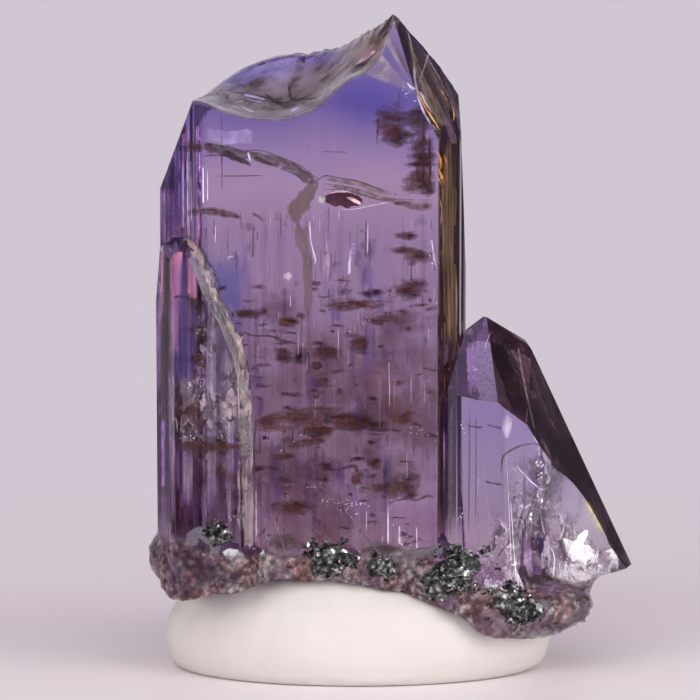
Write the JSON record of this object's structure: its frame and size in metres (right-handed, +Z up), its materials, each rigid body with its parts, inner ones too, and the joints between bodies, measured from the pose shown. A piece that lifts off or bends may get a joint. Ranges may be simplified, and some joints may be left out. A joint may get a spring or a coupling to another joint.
{
  "type": "tanzanite crystal",
  "caption": "Natural violet gem crystal: tall striated prism with a scooped broken top, a low overgrowth, a leaning side crystal and a rough graphite-flecked root, on a white putty stand.",
  "frame": {"origin": "middle of the specimen's outline at the flat underside of the putty it stands on", "axes": "+Z up along the main prism; X to the right across the broad front face, which looks towards -Y"},
  "size_m": [0.0173, 0.0096, 0.0235],
  "materials": {
    "tanzanite": "clear to milky violet stone, glassy growth faces, brown-stained cracks",
    "putty": "matte white mounting putty, pressed by hand",
    "graphite": "dark flakes with a metallic glitter"
  },
  "bodies": {
    "root": {"tanzanite_crystal": "tanzanite", "putty_stand": "putty", "graphite_clump_left": "graphite", "graphite_clump_centre": "graphite", "graphite_clump_small": "graphite", "graphite_clump_right": "graphite", "graphite_clump_lower_right": "graphite"}
  },
  "joints": []
}
